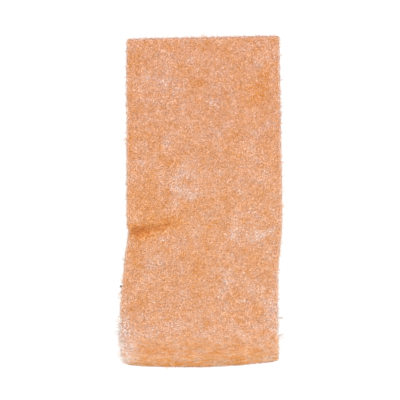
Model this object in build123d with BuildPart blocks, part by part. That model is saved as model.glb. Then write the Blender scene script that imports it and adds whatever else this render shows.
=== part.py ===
from build123d import *
import os
from math import cos, radians, sin

# An abrasive hand pad: one lofty sheet of crimped fibres, resin and fine grit, cut to a
# rectangle. It lies on its back with its length along Y and its working face up. The lower
# end has taken a set and curls up like a lip, with its cut end face open to view. A short
# crease runs in from the left side, where the sheet has buckled, and below it the sheet
# leans a little to the left. All sizes are in millimetres.

# The sheet
overall_width = 121.5  # from the flare of the left side to the belly of the right side
overall_length = 249.0  # from the far right corner to the middle of the lip's lower edge
rim_thickness = 9.0  # at the cut sides, where the blade has pinched the web
crown = 2.0  # how much thicker the sheet is down its middle

# The lip at the lower end
lip_radius = 56.0  # of the back face, round the curl
lip_angle = 55.0  # between the flat back and the back of the lip, in degrees
end_bow = 7.5  # how far the end cut bulges from its corners to its middle
end_middle = -12.0  # where across the width it bulges most
worn_reach = 12.0  # how far the worn corner, at the lip's left, reaches across
worn_depth = 7.0  # and how far it reaches back along the side

# The outline's sides, as insets from the sheet's widest points, and its top edge
top_slope = 2.5  # how much lower the top edge is at its left corner
left_inset = 4.75  # of the straight stretch above the crease
shoulder_inset = 1.6  # of the bend that the side makes as it leans out below the crease
shoulder_y = -62.0
flare_y = -95.0  # where the left side stands out most
left_end_inset = 3.2
right_top_inset = 2.0
belly_y = -12.0  # where the right side stands out most
right_end_inset = 2.95
hip_y = -60.0  # from where the right side runs straight down to the end
corner_round = 2.0  # of the two corners at the top

# The crease
crease_y = -25.0  # where it leaves the left side
notch = 1.3  # how far the left side is drawn in there
notch_above = 14.0  # the notch's reach up the side
notch_below = 8.0  # and down the side
crease_length = 42.0
crease_turn = 14.0  # how steeply it rises towards the middle, in degrees
crease_depth = 3.0  # of the hollow where it leaves the side
crease_spread = 1.5  # half its width over its depth
crease_round = 1.5  # of its valley and its brows

# The soft edges that the blade leaves
front_round = 2.0
back_round = 1.2

trim = 6.0  # spare material that the outline and the end cut take away
half_width = overall_width / 2
half_length = overall_length / 2
side = half_width + trim
lip_start = lip_radius * sin(radians(lip_angle)) - half_length
tall = lip_radius + rim_thickness + crown


def bow(x):
    """How far back from the end cut's middle its curve lies at x."""
    return end_bow * ((x - end_middle) / (half_width - end_middle)) ** 2


with BuildPart() as pad:
    # The back of the sheet seen from the side: a flat run, then the curl of the lip.
    with BuildLine(Plane.YZ) as back_line:
        run = Line((half_length + trim, 0), (lip_start, 0))
        JernArc(run @ 1, (-1, 0), lip_radius, -lip_angle)

    # The section across the width, flat behind and crowned in front, swept along that line.
    with BuildSketch(Plane(back_line.line @ 0, x_dir=(1, 0, 0), z_dir=(0, -1, 0))):
        with BuildLine():
            Polyline((-side, rim_thickness), (-side, 0), (side, 0), (side, rim_thickness))
            ThreePointArc(
                (side, rim_thickness), (0, rim_thickness + crown), (-side, rim_thickness)
            )
        make_face()
    sweep(path=back_line.line)

    # The outline seen from above, with the lower end left long.
    with BuildSketch() as outline:
        with BuildLine():
            left_x = left_inset - half_width
            left_top = (left_x, half_length - top_slope)
            notch_top = (left_x, crease_y + notch_above)
            left_long = (left_end_inset - half_width, -half_length - trim)
            right_top = (half_width - right_top_inset, half_length)
            right_long = (half_width - right_end_inset, -half_length - trim)
            hip = (half_width - right_end_inset, hip_y)
            shoulder = (shoulder_inset - half_width, shoulder_y)
            flare = (-half_width, flare_y)
            belly = (half_width, belly_y)
            Line(left_top, notch_top)
            Spline(
                notch_top,
                (left_x + notch, crease_y),
                (left_x, crease_y - notch_below),
                shoulder,
                flare,
                tangents=((0, -1), (0, -1)),
            )
            Spline(flare, left_long, tangents=((0, -1), (0, -1)))
            Line(left_long, right_long)
            Line(right_long, hip)
            Spline(hip, belly, tangents=((0, 1), (0, 1)))
            Spline(belly, right_top, tangents=((0, 1), (0, 1)))
            Line(right_top, left_top)
        make_face()
        fillet(outline.vertices().sort_by(Axis.Y)[-2:], corner_round)
    extrude(amount=tall, mode=Mode.INTERSECT)

    # The end cut, square to the lip: one long shallow bow, and the worn corner at its left.
    lip_normal = (0, sin(radians(lip_angle)), cos(radians(lip_angle)))
    with BuildSketch(Plane(back_line.line @ 1, x_dir=(1, 0, 0), z_dir=lip_normal)):
        with BuildLine():
            worn_start = worn_reach - half_width
            worn_end = (-side, bow(worn_start) + worn_depth)
            cut = ThreePointArc(
                (side, bow(side)), (end_middle, 0), (worn_start, bow(worn_start))
            )
            TangentArc(cut @ 1, worn_end, tangent=cut % 1)
            Polyline(worn_end, (-side, -tall), (side, -tall), cut @ 0)
        make_face()
    extrude(amount=tall, both=True, mode=Mode.SUBTRACT)

    # The soft edges round the front and the back. The seams where the lip starts aren't edges.
    front = pad.faces().filter_by(lambda face: face.normal_at().Z > 0 and face.normal_at().Y > -0.1)
    back = pad.faces().filter_by(lambda face: face.normal_at().Z < -0.1)
    front_rim = front.edges() - (front[0].edges() & front[1].edges())
    back_rim = back.edges() - (back[0].edges() & back[1].edges())
    fillet(front_rim, front_round)
    fillet(back_rim, back_round)

    # The crease: a soft V whose valley is deepest at the left side and climbs out of the
    # front at its inner end, so that it narrows as it runs in.
    inwards = Vector(cos(radians(crease_turn)), sin(radians(crease_turn)), 0)
    mouth = Vector(left_x + notch, crease_y, rim_thickness - crease_depth)
    valley = inwards * crease_length + Vector(0, 0, crease_depth + crown)
    across = Vector(-inwards.Y, inwards.X, 0)
    start = mouth - valley.normalized() * trim
    with BuildSketch(Plane(start, x_dir=across, z_dir=valley)):
        with BuildLine():
            open_side = crease_spread * tall
            Polyline((0, 0), (open_side, tall), (-open_side, tall), close=True)
        make_face()
    extrude(amount=valley.length + trim, mode=Mode.SUBTRACT)
    fillet(pad.edges(Select.LAST).filter_by(GeomType.LINE), crease_round)
    crowned_face = pad.faces().filter_by(GeomType.CYLINDER).sort_by(SortBy.AREA)[-1]
    fillet(crowned_face.edges().filter_by(GeomType.ELLIPSE), crease_round)

print("volume", round(pad.part.volume), "valid", pad.part.is_valid, pad.part.bounding_box())

os.makedirs("parts", exist_ok=True)
pad.part.label = "abrasive_pad"
export_step(pad.part, "parts/abrasive_pad.step")
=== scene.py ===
# %% [markdown]
# # An abrasive hand pad in Blender
# The real pad is a lofty sheet of crimped synthetic fibres. They are sprayed with resin and
# fine grit, cured, and cut to a rectangle. There is no surface as such: what the eye takes for
# one is the outermost layer of the tangle. So the model is a soft core, which fills the sheet
# and closes off the view into it, dressed with thousands of separate curly fibres.
#
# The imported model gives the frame. Every size below is taken from it or from the web itself.

# %% Load the frame and keep the size of its box
import math

import bpy
import numpy as np
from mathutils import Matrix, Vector
from mathutils.bvhtree import BVHTree


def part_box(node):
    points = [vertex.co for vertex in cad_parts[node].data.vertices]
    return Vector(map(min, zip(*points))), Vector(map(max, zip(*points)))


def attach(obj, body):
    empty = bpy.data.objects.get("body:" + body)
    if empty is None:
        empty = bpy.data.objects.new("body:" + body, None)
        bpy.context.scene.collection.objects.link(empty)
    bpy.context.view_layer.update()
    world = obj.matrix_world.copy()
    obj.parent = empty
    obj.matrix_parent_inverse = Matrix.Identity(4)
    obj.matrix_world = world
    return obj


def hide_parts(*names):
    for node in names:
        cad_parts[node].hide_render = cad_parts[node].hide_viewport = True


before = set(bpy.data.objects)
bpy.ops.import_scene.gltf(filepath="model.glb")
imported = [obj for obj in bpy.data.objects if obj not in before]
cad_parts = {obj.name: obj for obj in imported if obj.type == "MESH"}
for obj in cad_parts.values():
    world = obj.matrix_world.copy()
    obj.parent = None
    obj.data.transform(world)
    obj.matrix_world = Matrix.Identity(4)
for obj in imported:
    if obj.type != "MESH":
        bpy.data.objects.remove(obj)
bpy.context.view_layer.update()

MM = 0.001
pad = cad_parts["abrasive_pad"]
low, high = (Vector(corner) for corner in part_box("abrasive_pad"))
print("pad box in mm:", [round(side / MM, 1) for side in high - low])

# %% [markdown]
# ## The guide surface
# Everything on the pad is laid on its outer skin, so a clean copy of the skin comes first. The
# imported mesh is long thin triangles, which neither displace nor measure well. Merging its
# doubled corners closes it, and a voxel remesh lays even little quads over the same shape.

# %% Copy the pad's skin and remesh it evenly
GRAIN = 1.0 * MM  # the side of one little quad


def bare_copy(source, name):
    """A copy of an object with a mesh of its own, selected alone and active."""
    bpy.ops.object.select_all(action="DESELECT")
    copy = bpy.data.objects.new(name, source.data.copy())
    bpy.context.scene.collection.objects.link(copy)
    copy.select_set(True)
    bpy.context.view_layer.objects.active = copy
    return copy


def apply_modifier(piece, kind, **settings):
    """Add one modifier to the active piece, set it and apply it."""
    modifier = piece.modifiers.new(kind.title(), kind)
    for key, value in settings.items():
        setattr(modifier, key, value)
    bpy.ops.object.modifier_apply(modifier=modifier.name)


core = bare_copy(pad, "web_core")
bpy.ops.object.mode_set(mode="EDIT")
bpy.ops.mesh.select_all(action="SELECT")
bpy.ops.mesh.remove_doubles(threshold=0.01 * MM)
bpy.ops.object.mode_set(mode="OBJECT")
apply_modifier(core, "REMESH", mode="VOXEL", voxel_size=GRAIN)
apply_modifier(core, "SMOOTH", factor=0.5, iterations=2)
print("guide surface:", len(core.data.polygons), "quads")


# %% Keep its corners and its search tree, for laying fibres on
def corners_of(piece):
    found = np.empty(len(piece.data.vertices) * 3)
    piece.data.vertices.foreach_get("co", found)
    return found.reshape(-1, 3)


guide_points = corners_of(core)
quads = np.array([tuple(polygon.vertices) for polygon in core.data.polygons])
skin = BVHTree.FromPolygons(guide_points.tolist(), quads.tolist())
print("corners of the guide surface:", len(guide_points))

# %% [markdown]
# ## The core
# Inside the outermost fibres the web is so dense that it reads as a lumpy, porous felt. A
# plain smooth slab would shine through as one flat tone. Two Displace modifiers give it lumps
# the size of a fingertip and pores the size of a curl, and the whole core is drawn in a
# little, so that the fibres laid on it keep the pad at its true size.

# %% Displace the core into lumps and pores
RELIEF = (("lumps", 12 * MM, 0.28 * MM), ("pores", 1.3 * MM, 0.6 * MM))  # size and height
DRAWN_IN = 0.3 * MM
CORE_CLEAR = 0.1 * MM  # of the floor
FIBRE_CLEAR = 0.02 * MM

for name, size, height in RELIEF:
    cloud = bpy.data.textures.new(name, "CLOUDS")
    cloud.noise_scale = size
    cloud.noise_depth = 0
    apply_modifier(
        core,
        "DISPLACE",
        texture=cloud,
        texture_coords="LOCAL",
        strength=height,
        mid_level=0.5,
    )
apply_modifier(core, "DISPLACE", strength=-DRAWN_IN, mid_level=0.0)
points = corners_of(core)
points[:, 2] = np.maximum(points[:, 2], CORE_CLEAR)
core.data.vertices.foreach_set("co", points.ravel())
core.data.update()
bpy.ops.object.shade_smooth()
print("core box in mm:", np.round((points.max(0) - points.min(0)) / MM, 1))

# %% [markdown]
# ## The fibres
# A fibre of this web is a crimped nylon hair about a quarter of a millimetre thick with its
# coat of resin. Hair particles would look right but leave no mesh behind. So each fibre is a
# thin closed tube with three sides, and its line is walked over the guide surface one short
# step at a time, turning left and right as the crimp does and dipping in and out of the felt.

# %% Walk one fibre's line over the skin
rng = np.random.default_rng(7)
STEP = 0.5 * MM
DIP = 0.1 * MM  # how far a line dips and rises as it goes
DIP_PACE = 1.3  # of that wave, in radians for each step
CRIMP_PACE = (0.6, 1.2)  # of the crimp, at least and at most
WANDER = 0.15  # what chance adds to each turn, in radians


def walk(spot, normal, steps, turn, rise, combed):
    """One crimped fibre: the points of its line, with the skin's normal at each.

    combed, from 0 to 1, is how strongly the fibre keeps to the X axis.
    """
    heading = Vector(rng.normal(size=3))
    heading.x *= 1 + 4 * combed
    heading = (heading - normal * heading.dot(normal)).normalized()
    bend, wave = rng.uniform(0, math.tau, 2)
    pace = rng.uniform(*CRIMP_PACE)
    line, normals = [], []
    for step in range(steps + 1):
        line.append(spot + normal * (rise + DIP * math.sin(wave + DIP_PACE * step)))
        normals.append(normal)
        sway = turn * math.sin(bend + pace * step) + rng.normal(0, WANDER)
        heading = heading * math.cos(sway) + normal.cross(heading) * math.sin(sway)
        heading.x += 0.5 * combed * math.copysign(1, heading.x)
        heading = (heading - normal * heading.dot(normal)).normalized()
        spot, normal, _, _ = skin.find_nearest(spot + heading * STEP)
    return np.array(line), np.array(normals)


# %% [markdown]
# ## What a point of the web knows
# The cut edges are a different colour from the face: the blade has opened the resin there. A
# rule on height or width would miss the curl of the lip, so each point of the mesh notes what
# it belongs to, from the way the skin faces there. The notes are attributes, "cut" for the
# left and right sides and "end" for the two ends, and the colour reads them later. The colour
# gives the cut sides a little painted light, and "end" sets painted light on the lip's end cut
# and painted shade along its lower rim and on the cut at the upper end.

# %% Note what each point belongs to
LIP_RADIUS = 56 * MM  # of the back of the lip
LIP_ANGLE = math.radians(55)
LIP_CENTRE = (low.y - 0.5 * MM + LIP_RADIUS * math.sin(LIP_ANGLE), LIP_RADIUS)  # its Y and Z
LIP_SHADE_RIM = 2.8 * MM  # how deep the strip of painted shade along the foot of the end cut is


def share(values, none, full):
    """From 0 where a value is none to 1 where it is full."""
    return np.clip((values - none) / (full - none), 0, 1)


def cut_share(normals):
    """From 0 on the face and the back to 1 on the cut left and right sides."""
    return share(np.abs(normals[:, 0]), 0.25, 0.8)


def end_light_and_shade(places, normals):
    """From 0 elsewhere to 1 on the end cut of the lip.

    It falls to -1 along the lower rim of that cut, and on the cut at the other end. Where it is 1
    the colour paints light, and where it is -1 it paints shade.
    """
    lower_cut = share(-normals[:, 1], 0.2, 0.5) * (places[:, 1] < low.y + 20 * MM)
    depth = np.hypot(places[:, 1] - LIP_CENTRE[0], places[:, 2] - LIP_CENTRE[1])
    rim = share(depth, LIP_RADIUS - LIP_SHADE_RIM, LIP_RADIUS - LIP_SHADE_RIM + MM)
    upper_cut = share(normals[:, 1], 0.25, 0.8) * (places[:, 1] > high.y - 8 * MM)
    return lower_cut * (1 - 2 * rim) - upper_cut


def mark(mesh, name, values):
    mesh.attributes.new(name, "FLOAT", "POINT").data.foreach_set("value", values)


guide_normals = np.empty(guide_points.size)
core.data.vertices.foreach_get("normal", guide_normals)
guide_normals = guide_normals.reshape(-1, 3)
core_end_light_and_shade = end_light_and_shade(guide_points, guide_normals)
mark(core.data, "cut", cut_share(guide_normals))
mark(core.data, "end", core_end_light_and_shade)
print("corners of the core on the lip's end cut:", int((core_end_light_and_shade > 0.5).sum()))

# %% [markdown]
# ## Thin tubes
# Thousands of curve objects would be slow to bevel and to export. The tubes of one layer are
# built as one mesh instead, straight from their lines, three points round each step. Three
# sides are enough at this thickness, and they keep the whole pad under a million triangles.
# A UV map comes with them, one square cell for each fibre, so that a baked colour fits them.

# %% The points, faces and map of one tube
CORNERS = np.radians([30, 150, 270])  # one flat side faces out
MARGIN = 0.06  # left free in a fibre's cell of the map
STRIP = 0.22  # how much of the cell's height each side gets


def tube_points(spine, normals, thickness):
    """Three points round each point of a line, drawn in at both ends."""
    along = np.gradient(spine, axis=0)
    along /= np.linalg.norm(along, axis=1, keepdims=True)
    across = np.cross(along, normals)
    across /= np.maximum(np.linalg.norm(across, axis=1, keepdims=True), 1e-9)
    up = np.cross(across, along)
    radius = np.full((len(spine), 1, 1), thickness / 2 * rng.uniform(0.75, 1.25))
    radius[[0, -1]] *= 0.6
    ring = np.cos(CORNERS)[:, None] * across[:, None] + np.sin(CORNERS)[:, None] * up[:, None]
    return (spine[:, None] + radius * ring).reshape(-1, 3)


def tube_faces(first, count):
    """The sides of a tube of count rings whose points start at first, then its two ends."""
    faces = []
    for here in range(first, first + 3 * (count - 1), 3):
        for side in range(3):
            beside = (side + 1) % 3
            faces.append((here + side, here + side + 3, here + beside + 3, here + beside))
    last = first + 3 * (count - 1)
    return [*faces, (first, first + 1, first + 2), (last + 2, last + 1, last)]


def tube_map(index, cells, count):
    """Where those faces lie in the UV map: the sides laid out flat, the ends above them."""

    def at(across, up):
        return (index % cells + across) / cells, (index // cells + up) / cells

    places = []
    for k in range(count - 1):
        here, there = (MARGIN + (1 - 2 * MARGIN) * ring / (count - 1) for ring in (k, k + 1))
        for side in range(3):
            foot = MARGIN + STRIP * side
            top = foot + STRIP
            places += [at(here, foot), at(there, foot), at(there, top), at(here, top)]
    for left in (0.1, 0.6):
        places += [at(left, 0.8), at(left + 0.3, 0.8), at(left + 0.15, 0.95)]
    return places


# %% Turn many lines into one mesh of tubes
def tubes(name, lines, thickness, bare=None):
    """One mesh of closed tubes, one round each line, each with its own tone from 0 to 1.

    How far a fibre has lost its coat follows from where it lies, or is given in bare.
    """
    points, faces, places, tones, cuts, ends = [], [], [], [], [], []
    cells = math.ceil(math.sqrt(len(lines)))
    first = 0
    for index, (spine, normals) in enumerate(lines):
        count = len(spine)
        points.append(tube_points(spine, normals, thickness))
        faces += tube_faces(first, count)
        places += tube_map(index, cells, count)
        tones.append(np.full(3 * count, rng.uniform()))
        cut = cut_share(normals) if bare is None else np.full(count, bare[index])
        cuts.append(np.repeat(cut, 3))
        ends.append(np.repeat(end_light_and_shade(spine, normals), 3))
        first += 3 * count
    points = np.concatenate(points)
    points[:, 2] = np.maximum(points[:, 2], FIBRE_CLEAR)
    mesh = bpy.data.meshes.new(name)
    mesh.from_pydata(points, [], faces)
    for note, values in (("tone", tones), ("cut", cuts), ("end", ends)):
        mark(mesh, note, np.concatenate(values))
    mesh.uv_layers.new(name="OFBake").uv.foreach_set("vector", np.array(places).ravel())
    mesh.shade_smooth()
    piece = bpy.data.objects.new(name, mesh)
    bpy.context.scene.collection.objects.link(piece)
    print(name, len(lines), "fibres", sum(len(face) - 2 for face in faces), "triangles")
    return piece


# %% [markdown]
# ## Laying the layers
# The face of the web is three layers deep to the eye, and each deeper one is darker for being
# in the shade of the next. The fibres start at random places that are spread evenly by area,
# so no bald spots are left. On the end cut, and on the lip near it, the blade has drawn the
# fibres out across the pad, so they run nearly straight along X there.

# %% Tell the parts of the skin apart
quad_corners = guide_points[quads]
quad_middle = quad_corners.mean(axis=1)
quad_normal = np.cross(
    quad_corners[:, 2] - quad_corners[:, 0], quad_corners[:, 3] - quad_corners[:, 1]
)
quad_area = np.linalg.norm(quad_normal, axis=1) / 2
quad_normal /= np.maximum(2 * quad_area[:, None], 1e-12)

on_back = quad_normal[:, 2] < -0.35
on_end = (quad_normal[:, 1] < -0.3) & (quad_middle[:, 1] < -0.1) & ~on_back
on_face = (quad_normal[:, 2] > 0.5) & ~on_end
on_side = ~(on_back | on_face | on_end)
for name, where in (("face", on_face), ("back", on_back), ("end", on_end), ("side", on_side)):
    print(name, "area in square cm:", round(quad_area[where].sum() * 1e4, 1))


def starts(where, count):
    """Random places on one part of the skin, each with the skin's normal."""
    total = np.cumsum(quad_area * where)
    even = (np.arange(count) + rng.uniform(size=count)) / count
    chosen = rng.permutation(np.searchsorted(total, even * total[-1]))
    shift = rng.uniform(-0.5, 0.5, (count, 3)) * GRAIN
    return [(Vector(quad_middle[k] + s), Vector(quad_normal[k])) for k, s in zip(chosen, shift)]


# %% Lay the fibres, the deep ones first
STEPS = 9  # along one fibre
TURN = 1.9  # how far a fibre turns in one step at most, in radians
DRAWN_FROM = 24 * MM  # above the lower end, where the fibres begin to be drawn out
DRAWN_OVER = 14 * MM
DRAWN_TURN = 0.5  # what is left of the turn there
DRAWN_COMB = 0.5  # and how strongly the fibres keep to the X axis


def laid(where, count, rise, turn=TURN, combed=0.0):
    """Fibres over one part of the skin. rise is how high they lie, at least and at most."""
    lines = []
    for spot, normal in starts(where, count):
        drawn = min(max((low.y + DRAWN_FROM - spot.y) / DRAWN_OVER, 0), 1)
        sway = turn + (min(turn, DRAWN_TURN) - turn) * drawn
        keep = max(combed, DRAWN_COMB * drawn)
        lines.append(walk(spot, normal, STEPS, sway, rng.uniform(*rise) * MM, keep))
    return lines


face_deep = tubes("face_fibres_deep", laid(on_face, 3300, (-0.2, -0.05)), 0.26 * MM)
face_mid = tubes("face_fibres_mid", laid(on_face, 2300, (-0.15, 0.0)), 0.26 * MM)
face_top = tubes("face_fibres_top", laid(on_face, 3300, (-0.1, 0.1)), 0.24 * MM)
side_lines = laid(on_side, 1500, (-0.3, 0.1))
end_lines = laid(on_end, 900, (-0.3, 0.15), turn=0.3, combed=0.6)
edges = tubes("edge_fibres", side_lines + end_lines, 0.28 * MM)
back = tubes("back_fibres", laid(on_back, 1500, (-0.45, -0.2)), 0.34 * MM)

# %% [markdown]
# ## The fringe
# Where the blade has cut the sheet, the cut fibres stand out of it as a short fuzz, in small
# tufts. The lower left corner has been worn to a loose, pale tangle, and a few longer fibres
# hang on to the right side as wisps. Flat cards with hairs painted on them would be lighter,
# but they vanish when seen from the side. So all of these are tubes again, whose lines leave
# the skin and wander. How bare each is of resin is given here: 1 as on the cut, 2.4 quite
# bare, with a little painted light, and up to 3.4 for the bare ones that get painted shade, so
# that they look dark against the light.

# %% Short tufts along the cut
FUZZ, WORN, SHADED_BARE = 1.0, 2.4, 3.4  # how bare a loose end is; the second also gets painted light and the last painted shade
ROOT = 0.4  # how deep it is held in the skin, in mm
CURL = 0.4
TUFTS = 900
TUFT_SIZE = 0.5 * MM
ENDS_IN_TUFT = 5
fringe_lines, bare = [], []


def loose_end(spot, outwards, length, curl):
    """A short fibre that leaves the skin and wanders."""
    pieces = 2 if length < 2.5 * MM else 6
    line, spot = [], spot - outwards * ROOT * MM
    heading = outwards.copy()
    for step in range(pieces + 1):
        line.append(spot.copy())
        heading = (heading + Vector(rng.normal(0, curl, 3))).normalized()
        spot = spot + heading * (length / pieces)
    return np.array(line), np.tile([0.0, 0.0, 1.0], (pieces + 1, 1))


def strayed(direction, spread):
    """A direction turned a little by chance."""
    return (direction + Vector(rng.normal(0, spread, 3))).normalized()


rim = on_side | on_end
for root, normal in starts(rim & (quad_normal[:, 1] > -0.6), TUFTS):
    lean = strayed(normal, 0.35)
    reach = rng.gamma(3.0, 0.42) * MM
    for _ in range(ENDS_IN_TUFT):
        spot = root + Vector(rng.normal(0, TUFT_SIZE, 3))
        outwards = strayed(lean, 0.3)
        fringe_lines.append(loose_end(spot, outwards, reach * rng.uniform(0.6, 1.2), CURL))
        bare.append(FUZZ)
print("loose ends in tufts:", len(bare))

# %% The worn corner at the lower left
FRAY_PULL = Vector((-0.8, -0.3, 0.0))  # the way its fibres have been pulled out
# The share of the worn corner's left-facing ends that get painted shade.
SHADED_BARE_SHARE = 0.12

inwards = quad_middle[:, 0] - low.x
along_side = quad_middle[:, 1] - low.y
frayed = share(inwards, 9.8 * MM, 2.8 * MM) * share(along_side, 43.5 * MM, 28.5 * MM)
frayed *= (along_side > 5 * MM) * ~on_back
for spot, normal in starts(frayed, 420):
    outwards = strayed(normal + FRAY_PULL, 0.6)
    length = (1.5 + rng.gamma(1.5, 1.6)) * MM
    fringe_lines.append(loose_end(spot, outwards, length, CURL))
    # A share of the ends facing left gets painted shade.
    bare.append(SHADED_BARE if normal.x < -0.6 and rng.uniform() < SHADED_BARE_SHARE else WORN)
print("loose ends at the worn corner:", bare.count(WORN) + bare.count(SHADED_BARE))

# %% The wisps at the right side
# Each wisp: its place along the side and how far it reaches, in mm, and how many fibres it has.
WISPS = ((93, 3.5, 3), (75, 3.0, 3), (27, 2.5, 2), (-86, 5.5, 5), (-102, 6.5, 8))
FAR_RIGHT = 0.2  # a place well beyond the side, to look for the nearest skin from

for y, reach, count in WISPS:
    for _ in range(count):
        aim = Vector((FAR_RIGHT, (y + rng.normal(0, 0.3 * reach)) * MM, rng.uniform(3, 8) * MM))
        spot, normal, _, _ = skin.find_nearest(aim)
        outwards = Vector((1.0, rng.normal(0, 0.15), rng.normal(0, 0.1))).normalized()
        fringe_lines.append(loose_end(spot, outwards, reach * rng.uniform(0.6, 1.0) * MM, 0.12))
        # The wisps get painted shade, so that they look dark against the light.
        bare.append(SHADED_BARE)
fringe = tubes("fringe", fringe_lines, 0.24 * MM, bare)

# %% [markdown]
# ## A knot of old resin
# One hard bead of dried resin is caught in the left side, under two millimetres across. It
# is the only dark spot on the pad, so it shows from a step away. A small ball does for it.

# %% The knot
KNOT_RADIUS = 0.8 * MM
KNOT_PLACE = Vector((low.x, -63.5 * MM, 6 * MM))

bpy.ops.object.select_all(action="DESELECT")
caught, _, _, _ = skin.find_nearest(KNOT_PLACE)
caught.x -= KNOT_RADIUS
bpy.ops.mesh.primitive_ico_sphere_add(subdivisions=2, radius=KNOT_RADIUS, location=caught)
knot = bpy.context.object
knot.name = "knot"
bpy.ops.object.transform_apply()
print("knot at y", round(caught.y / MM, 1), "mm")

# %% [markdown]
# ## The colour of the web
# The resin is one salmon orange, and what varies is how much of it there is. Where the web is
# open and dry it looks pale and a little pink, and where resin has pooled or the web is
# pressed it looks deep and saturated. Red hardly changes between the two, so a single number
# for dryness is enough, and the shade in the crease is painted into that same number, as
# deep pressed colour. It could be painted on each piece, but then a patch would end where a
# piece does. A node group works it out from the place on the pad instead, and the core and
# the fibres share it, so that a pale patch runs through both.


# %% Node helpers
def srgb(red, green, blue):
    """A colour as it is seen, from 0 to 255, as the linear values that a node takes."""
    linear = []
    for value in (red, green, blue):
        value /= 255
        linear.append(value / 12.92 if value <= 0.04045 else ((value + 0.055) / 1.055) ** 2.4)
    return (*linear, 1.0)


class Nodes:
    """Adds nodes to a tree and links them, one call each."""

    def __init__(self, tree):
        self.tree = tree
        tree.nodes.clear()

    def add(self, kind, inputs=None, **settings):
        node = self.tree.nodes.new(kind)
        for key, value in settings.items():
            setattr(node, key, value)
        for key, value in (inputs or {}).items():
            if isinstance(value, bpy.types.NodeSocket):
                self.tree.links.new(value, node.inputs[key])
            else:
                node.inputs[key].default_value = value
        return node

    def math(self, operation, a, b=0.0):
        return self.add("ShaderNodeMath", {0: a, 1: b}, operation=operation).outputs[0]

    def vector(self, operation, a, b):
        return self.add("ShaderNodeVectorMath", {0: a, 1: b}, operation=operation).outputs[0]

    def mix(self, factor, a, b):
        return self.add("ShaderNodeMix", {0: factor, 6: a, 7: b}, data_type="RGBA").outputs[2]

    def noise(self, place, size, detail=0.0, roughness=0.5, seed=0.0):
        """Noise round 0.5 whose features are about size across."""
        return self.add(
            "ShaderNodeTexNoise",
            {"Vector": place, "W": seed, "Scale": 1 / size, "Detail": detail,
             "Roughness": roughness},
            noise_dimensions="4D",
        ).outputs["Fac"]

    def ramp(self, value, low, high, to_low=0.0, to_high=1.0, kind="LINEAR"):
        """Go from to_low to to_high as value goes from low to high, and stay there beyond."""
        return self.add(
            "ShaderNodeMapRange",
            {0: value, 1: low, 2: high, 3: to_low, 4: to_high},
            interpolation_type=kind,
        ).outputs[0]

    def ease(self, value, low, high, to_low=0.0, to_high=1.0):
        """The same, but set off and arrive gently."""
        return self.ramp(value, low, high, to_low, to_high, "SMOOTHSTEP")

    def own(self, name):
        """What the piece has noted under this name."""
        return self.add("ShaderNodeAttribute", attribute_name=name).outputs["Fac"]

    def place(self):
        return self.add("ShaderNodeTexCoord").outputs["Object"]

    def height(self, place, axis="Y"):
        return self.add("ShaderNodeSeparateXYZ", {0: place}).outputs[axis]


# %% Patches placed one by one
# Each one stands where the real pad is paler or deeper than the rest of it, except the crease's,
# which are partly pressed web and partly painted shade. Each is listed with its middle and its
# half-widths in mm, and its dryness, below 0 where it is deep.
PALE_PATCHES = (
    (-32, 87, 18, 15, 0.20), (-28, 89, 5, 4, 0.35), (-18, 84, 6, 4, 0.25), (-31, 75, 6, 4, 0.25),
    (-39, 93, 6, 4, 0.25), (-19, 111, 5, 4, 0.30), (-8, 107, 5, 4, 0.30), (8, 49, 8, 7, 0.22),
    (9, 75, 5, 3, 0.50), (31, 87, 6, 6, 0.15), (53, 57, 6, 6, 0.30), (-25, 42, 5, 4, 0.20),
    (-44, 29, 9, 4, 0.30), (-14, 13, 13, 15, 0.28), (-14, 21, 6, 8, 0.40), (-7, 22, 4, 5, 0.30),
    (-18, 8, 7, 6, 0.40), (-2, 5, 9, 3.5, 0.35), (-8, 3, 5, 4, 0.25), (13, 22, 5, 4, 0.28),
    (-28, -28, 5, 3, 0.45), (24, -24, 5, 5, 0.55), (46, -25, 13, 8, 0.40), (44, -20, 26, 20, 0.16),
    (-36, -44, 8, 9, 0.28), (-42, -58, 11, 5, 0.25), (18, -53, 7, 18, 0.46), (56, -62, 6, 9, 0.30),
    (42, -68, 15, 12, 0.26), (-17, -72, 8, 10, 0.25), (30, -77, 6, 8, 0.25),
    (49, -84.6, 4, 0.9, 1.00), (56, -90, 9, 26, 0.55), (-42, -94, 20, 10, 0.26),
    (-18, -95, 5, 5, 0.10), (8, -97, 34, 11, 0.27), (-40, -100, 6, 12, 0.14),
    (48, -101, 14, 14, 0.20), (-59, -106, 12, 20, 1.10), (8, -106, 9, 16, 0.17),
)
DEEP_PATCHES = (
    (20, 114, 9, 9, -0.32), (-10, 100, 6, 5, -0.25), (-51, 101, 6, 9, -0.22),
    (-54, 88, 6, 8, -0.20), (-2, 87, 9, 8, -0.42), (43, 81, 15, 19, -0.50),
    (-47, 64, 9, 14, -0.14), (-29, 57, 8, 8, -0.20), (-35, 43, 8, 6, -0.22), (19, 43, 6, 6, -0.22),
    (-53, 38, 8, 15, -0.38), (21, 39, 6, 4, -0.25), (-2, 36, 6, 5, -0.25), (-26, 31, 8, 8, -0.22),
    (24, 31, 7, 6, -0.20), (55, 27, 6, 8, -0.20), (-37, 19, 5, 5, -0.25), (43, 5, 10, 9, -0.25),
    (-43, 0, 16, 22, -0.32), (19, -3, 8, 8, -0.14), (7, -3, 6, 6, -0.26), (-4, -4, 14, 8, -0.20),
    (-28, -17, 6, 5, -0.20), (15, -27, 6, 5, -0.30), (-49, -43, 7, 9, -0.36),
    (42, -47, 8, 7, -0.30), (0, -48, 14, 16, -0.26), (52, -48, 6, 6, -0.22),
    (-43, -75, 9, 8, -0.34), (42, -80, 8, 6, -0.25), (18, -92, 6, 7, -0.20),
    (-29, -109, 8, 5, -0.25), (-41, -122, 10, 5, -0.30), (-8, -123, 40, 9, -0.18),
)
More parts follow.
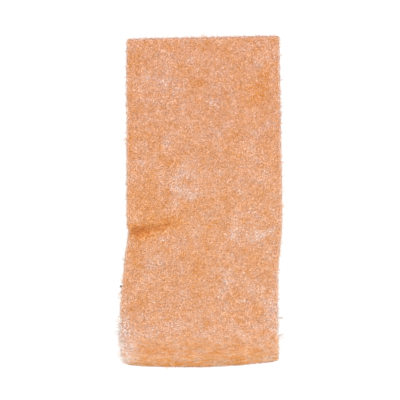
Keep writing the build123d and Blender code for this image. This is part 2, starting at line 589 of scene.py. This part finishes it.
# The crease's patches are partly pressed web and partly painted shade in the fold.
CREASE_SHADE_PATCHES = (
    (-54, -20, 7, 8, -0.50), (-46, -23.7, 9, 8, -0.90), (-37, -22.3, 12, 8, -0.60),
    (-23, -16, 17, 8, -0.60),
)
PATCHES = PALE_PATCHES + DEEP_PATCHES + CREASE_SHADE_PATCHES
print("patches:", len(PATCHES))

# %% How dry the web is, with the crease's painted shade, by those patches and by chance
PATCH_STRENGTH = 2.1
BLOTCH = 11 * MM
CHANCE = 2.8  # how far blotches of chance reach, either way
STREAK = 0.7
STREAKS_FROM, STREAKS_FULL = 32 * MM, 8 * MM  # above the lower end


def make_dryness_and_shade():
    """A node group that gives the dryness, with the crease's painted shade in it, and how far the
    web is drawn out, from 0 to 1.
    """
    tree = bpy.data.node_groups.new("dryness_and_shade", "ShaderNodeTree")
    for name in ("Dryness_and_shade", "Drawn"):
        tree.interface.new_socket(name, in_out="OUTPUT", socket_type="NodeSocketFloat")
    nodes = Nodes(tree)
    place = nodes.place()
    total = 0.0
    for x, y, wide, tall, strength in PATCHES:
        offset = nodes.vector("SUBTRACT", place, (x * MM, y * MM, 0))
        scaled = nodes.vector("MULTIPLY", offset, (1 / (wide * MM), 1 / (tall * MM), 0))
        far = nodes.add("ShaderNodeVectorMath", {0: scaled}, operation="LENGTH")
        near = nodes.ease(far.outputs["Value"], 1.3, 0.0, 0.0, PATCH_STRENGTH * strength)
        total = nodes.math("ADD", near, total)
    blotch = nodes.noise(place, BLOTCH, 3.0, 0.85)
    ragged = nodes.math("MULTIPLY", total, nodes.ease(blotch, 0.35, 0.65, 0.5, 1.5))
    total = nodes.math("ADD", ragged, nodes.ramp(blotch, 0.0, 1.0, -CHANCE, CHANCE))

    # On the lip the blade has drawn the colour out into streaks along X.
    squeezed = nodes.vector("MULTIPLY", place, (0.2, 1.0, 1.0))
    streak = nodes.ramp(nodes.noise(squeezed, 1.7 * MM, 1.0), 0.3, 0.7, -STREAK, STREAK)
    drawn = nodes.ease(nodes.height(place), low.y + STREAKS_FROM, low.y + STREAKS_FULL)
    total = nodes.math("ADD", total, nodes.math("MULTIPLY", streak, drawn))
    nodes.add("NodeGroupOutput", {"Dryness_and_shade": total, "Drawn": drawn})
    return tree


dryness_and_shade = make_dryness_and_shade()
print("dryness:", len(dryness_and_shade.nodes), "nodes")

# %% [markdown]
# ## From dryness and painted shade to colour
# Four colours stand along the scale of dryness, and the web's colour is read off between
# them; the deepest, of pressed web, also carries the crease's painted shade. The notes on
# each point then shift it. The cut sides and the worn corner get painted light, and so does
# the end cut of the lip, while the lower rim of that cut and the cut at the upper end are
# drier and get painted shade. The darkest loose ends get painted shade as well. The lower
# half of the pad has yellowed a little, and the lip a little more, with a little painted
# shade there; the upper end is a little darker. What lies deep in the web also gets more
# colour, because the light that reaches it has come through more orange fibres. So green and
# blue fall off faster than red as the light does.

# %% The web's colour
# The deepest colour, of pressed web, also carries the painted shade of the crease.
PRESSED_AND_SHADED = srgb(224, 128, 72)
DEEP = srgb(243, 163, 74)
PALE = srgb(249, 210, 190)
BARE = srgb(255, 235, 228)
NO_TINT = (1, 1, 1, 1)
UPPER_DIM_TINT = (0.975, 0.975, 0.975, 1)  # a little darker, near the upper end
AGED_TINT = (1, 1.026, 1, 1)  # over the lower half
# On the lip: yellower, and a little painted shade.
LIP_YELLOW_AND_SHADE = (0.98, 1.0, 0.9, 1)
OPENED_TINT = (1.03, 1.06, 1.02, 1)  # on the cut sides


def web_colour(nodes, place, drawn, dry_and_shade, light):
    """The resin's colour, from -2.2, pressed and in the crease's painted shade, by -0.9, deep, and
    1, pale, to 2.4, bare.
    """
    cut = nodes.own("cut")
    end = nodes.own("end")
    dry_and_shade = nodes.math("ADD", dry_and_shade, cut)
    # Along the lower rim of the lip's end cut and on the cut at the upper end, the web is drier.
    dry_and_shade = nodes.math("ADD", dry_and_shade, nodes.ramp(end, 0.0, -1.0, 0.0, 0.9))
    # Painted light on the cut sides, and more of it on the worn corner's loose ends.
    light = nodes.math("MULTIPLY", light, nodes.ramp(cut, 0.0, WORN, 1.0, 1.08))
    # Painted shade on the darkest loose ends, so that they look dark against the light.
    light = nodes.math("MULTIPLY", light, nodes.ramp(cut, WORN, SHADED_BARE, 1.0, 0.56))
    # Painted light on the lip's end cut, painted shade along its lower rim and on the cut at the
    # upper end.
    light = nodes.math("MULTIPLY", light, nodes.ramp(end, -1.0, 1.0, 0.9, 1.13))

    colour = nodes.mix(nodes.ramp(dry_and_shade, -2.2, -0.9), PRESSED_AND_SHADED, DEEP)
    colour = nodes.mix(nodes.ramp(dry_and_shade, -1.0, 1.0), colour, PALE)
    colour = nodes.mix(nodes.ramp(dry_and_shade, 1.2, 2.4), colour, BARE)

    # Darker near the upper end, yellower over the lower half, and on the lip yellower with a
    # little painted shade.
    aged = nodes.ease(nodes.height(place), 80 * MM, -20 * MM)
    yellowing_and_shade = nodes.mix(aged, UPPER_DIM_TINT, AGED_TINT)
    on_lip_yellow_and_shade = nodes.math("MULTIPLY", drawn, nodes.ease(dry_and_shade, 0.6, 1.6, 1.0, 0.0))
    yellowing_and_shade = nodes.mix(on_lip_yellow_and_shade, yellowing_and_shade, LIP_YELLOW_AND_SHADE)
    opened = nodes.math("MINIMUM", cut, nodes.ramp(cut, FUZZ, WORN, 1.0, 0.0))
    opened = nodes.mix(opened, NO_TINT, OPENED_TINT)
    colour = nodes.vector("MULTIPLY", nodes.vector("MULTIPLY", colour, yellowing_and_shade), opened)

    green, blue = (nodes.math("POWER", light, power) for power in (1.3, 1.4))
    shade = nodes.add("ShaderNodeCombineXYZ", {0: light, 1: green, 2: blue}).outputs[0]
    return nodes.vector("MULTIPLY", colour, shade)


# %% [markdown]
# ## Two finishes of one web
# The felt of the core is matt, and painted dim as the shade it lies in under the fibres, with
# threads of tangle drawn in it by three waves of noise, where a thread is what lies close to a
# wave's middle, and the gaps between threads in deeper painted shade. A strand is a little
# glossier, for its coat of resin, and has its own tone. Both carry the same fine grit, which is
# lighter and darker from grain to grain. The grit is stronger where the web is dry, and it is
# rubbed nearly flat on the lip.

# %% What the two share
GRIT = 0.6 * MM


def web_material(name):
    """An empty material, its nodes, and the place, dryness, drawnness and grit to build on."""
    material = bpy.data.materials.new(name)
    material.use_nodes = True
    nodes = Nodes(material.node_tree)
    place = nodes.place()
    dry_and_shade, drawn = nodes.add("ShaderNodeGroup", node_tree=dryness_and_shade).outputs
    grit = nodes.ramp(nodes.noise(place, GRIT), 0.39, 0.61, -1.0, 1.0)
    return material, nodes, place, dry_and_shade, drawn, grit


def finish_material(nodes, colour, height, roughness, specular):
    bump = nodes.add("ShaderNodeBump", {"Height": height, "Strength": 0.5, "Distance": 0.2 * MM})
    shader = nodes.add(
        "ShaderNodeBsdfPrincipled",
        {"Base Color": colour, "Roughness": roughness, "Specular IOR Level": specular,
         "Normal": bump.outputs[0]},
    )
    nodes.add("ShaderNodeOutputMaterial", {0: shader.outputs[0]})


# %% Felt, for the core
THREADS = (0.8, 1.0, 1.3)  # the sizes of the tangle's three waves, in mm


def make_felt():
    felt, nodes, place, dry_and_shade, drawn, grit = web_material("felt")
    tangle = 0.0
    for seed, size in enumerate(THREADS):
        wave = nodes.noise(place, size * MM, seed=10.0 * seed)
        off = nodes.math("ABSOLUTE", nodes.math("SUBTRACT", wave, 0.5))
        tangle = nodes.math("MAXIMUM", nodes.ease(off, 0.05, 0.01), tangle)
    # The felt is painted dim as the shade it lies in under the fibres, its gaps darker than its
    # threads.
    light = nodes.ramp(tangle, 0.0, 1.0, 0.56, 0.77)
    light = nodes.math("MULTIPLY", light, nodes.ramp(grit, -1.0, 1.0, 0.78, 1.18))
    even = nodes.math("MULTIPLY", drawn, 0.6)
    uneven = nodes.math("MULTIPLY", light, nodes.math("SUBTRACT", 1.0, even))
    light = nodes.math("ADD", uneven, nodes.math("MULTIPLY", 0.72, even))
    threads = nodes.ramp(tangle, 0.0, 1.0, -0.35, 0.35)
    dry_and_shade = nodes.math("ADD", nodes.math("MULTIPLY", dry_and_shade, 0.4), threads)
    dry_and_shade = nodes.math("ADD", dry_and_shade, nodes.math("MULTIPLY", grit, 0.15))
    finish_material(nodes, web_colour(nodes, place, drawn, dry_and_shade, light), tangle, 0.9, 0.1)
    return felt


# %% Strand, for the fibres
def make_strand():
    strand, nodes, place, dry_and_shade, drawn, grit = web_material("strand")
    grain = nodes.math("ADD", nodes.ramp(nodes.own("tone"), 0.0, 1.0, -0.1, 0.1), grit)
    reach = nodes.math(
        "MULTIPLY", nodes.ease(dry_and_shade, -0.6, 0.8, 0.28, 0.40), nodes.ease(drawn, 0.0, 1.0, 1.0, 0.3)
    )
    grain = nodes.math("MULTIPLY", grain, reach)
    light = nodes.math("ADD", grain, 0.92)
    bias = nodes.ease(dry_and_shade, -0.6, 0.8, 0.2, 0.9)
    dry_and_shade = nodes.math("ADD", dry_and_shade, nodes.math("MULTIPLY", grain, bias))
    finish_material(nodes, web_colour(nodes, place, drawn, dry_and_shade, light), grit, 0.6, 0.25)
    return strand


# %% Clot, for the knot, and give each piece its finish
def make_clot():
    clot = bpy.data.materials.new("clot")
    clot.use_nodes = True
    shader = clot.node_tree.nodes["Principled BSDF"]
    shader.inputs["Base Color"].default_value = srgb(96, 74, 68)
    shader.inputs["Roughness"].default_value = 0.7
    return clot


def give_finish(pieces, material):
    for piece in pieces:
        piece.data.materials.clear()
        piece.data.materials.append(material)
        print(piece.name, "is", material.name)


layers = [face_deep, face_mid, face_top, edges, back, fringe]
give_finish([core], make_felt())
give_finish(layers, make_strand())
give_finish([knot], make_clot())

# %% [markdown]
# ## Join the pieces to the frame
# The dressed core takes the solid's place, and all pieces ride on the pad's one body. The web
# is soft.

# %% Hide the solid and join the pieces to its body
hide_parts("abrasive_pad")
for piece in [core, *layers, knot]:
    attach(piece, "root")

# %% [markdown]
# ## Floor, light and camera
# The pad lies on white paper. A diffuse floor alone would come out grey, so the camera sees a
# glow mixed into it, while the pad gets no light from that glow and keeps its soft shadow.
# The light comes from a white room and two large soft boxes, one far and one near, weak
# enough that no fibre burns out. The camera looks straight down from far off, so that the
# curled lip isn't enlarged.

# %% Floor
bpy.ops.object.select_all(action="DESELECT")
bpy.ops.mesh.primitive_plane_add(size=6)
floor = bpy.context.object
floor.name = "floor"
paper = bpy.data.materials.new("paper")
paper.use_nodes = True
nodes = Nodes(paper.node_tree)
path = nodes.add("ShaderNodeLightPath").outputs
seen = nodes.math("MAXIMUM", path["Is Camera Ray"], path["Is Glossy Ray"])
seen = nodes.math("MAXIMUM", seen, path["Is Transmission Ray"])
matte = nodes.add("ShaderNodeBsdfDiffuse", {"Color": (0.85, 0.85, 0.85, 1)}).outputs[0]
glow = nodes.add("ShaderNodeEmission", {"Color": (1, 1, 1, 1), "Strength": 1.08}).outputs[0]
both = nodes.add("ShaderNodeMixShader", {0: nodes.math("MULTIPLY", seen, 0.8), 1: matte, 2: glow})
nodes.add("ShaderNodeOutputMaterial", {0: both.outputs[0]})
floor.data.materials.append(paper)
print("floor:", tuple(floor.dimensions))

# %% Light
ROOM_LIGHT = 1.22
SOFTBOXES = (("softbox_far", (0.6, 2.3, 1.5), 30), ("softbox_near", (-0.5, -1.7, 2.2), 13))

world = bpy.data.worlds.new("room")
bpy.context.scene.world = world
world.use_nodes = True
nodes = Nodes(world.node_tree)
path = nodes.add("ShaderNodeLightPath").outputs
strength = nodes.ramp(path["Is Camera Ray"], 0.0, 1.0, ROOM_LIGHT, 1.0)
sky = nodes.add("ShaderNodeBackground", {"Color": (1, 1, 1, 1), "Strength": strength})
nodes.add("ShaderNodeOutputWorld", {0: sky.outputs[0]})

for name, place, energy in SOFTBOXES:
    bpy.ops.object.light_add(type="AREA", location=place)
    softbox = bpy.context.object
    softbox.name = name
    softbox.data.size = 1.6
    softbox.data.energy = energy
    softbox.rotation_euler = (-softbox.location).to_track_quat("-Z", "Y").to_euler()
    print(name, "gives", energy, "W")

# %% Camera
DISTANCE = 3.0
FACE_HEIGHT = 10 * MM  # where the view is VIEW_WIDTH wide
VIEW_WIDTH = 300 * MM
SENSOR = 36  # in mm, as the lens is

bpy.ops.object.camera_add(location=(-0.9 * MM, 1.1 * MM, DISTANCE))
camera = bpy.context.object
camera.data.sensor_width = SENSOR
camera.data.lens = SENSOR * (DISTANCE - FACE_HEIGHT) / VIEW_WIDTH
camera.data.clip_end = 20
bpy.context.scene.camera = camera
bpy.context.scene.view_settings.view_transform = "Standard"
print("lens in mm:", round(camera.data.lens))
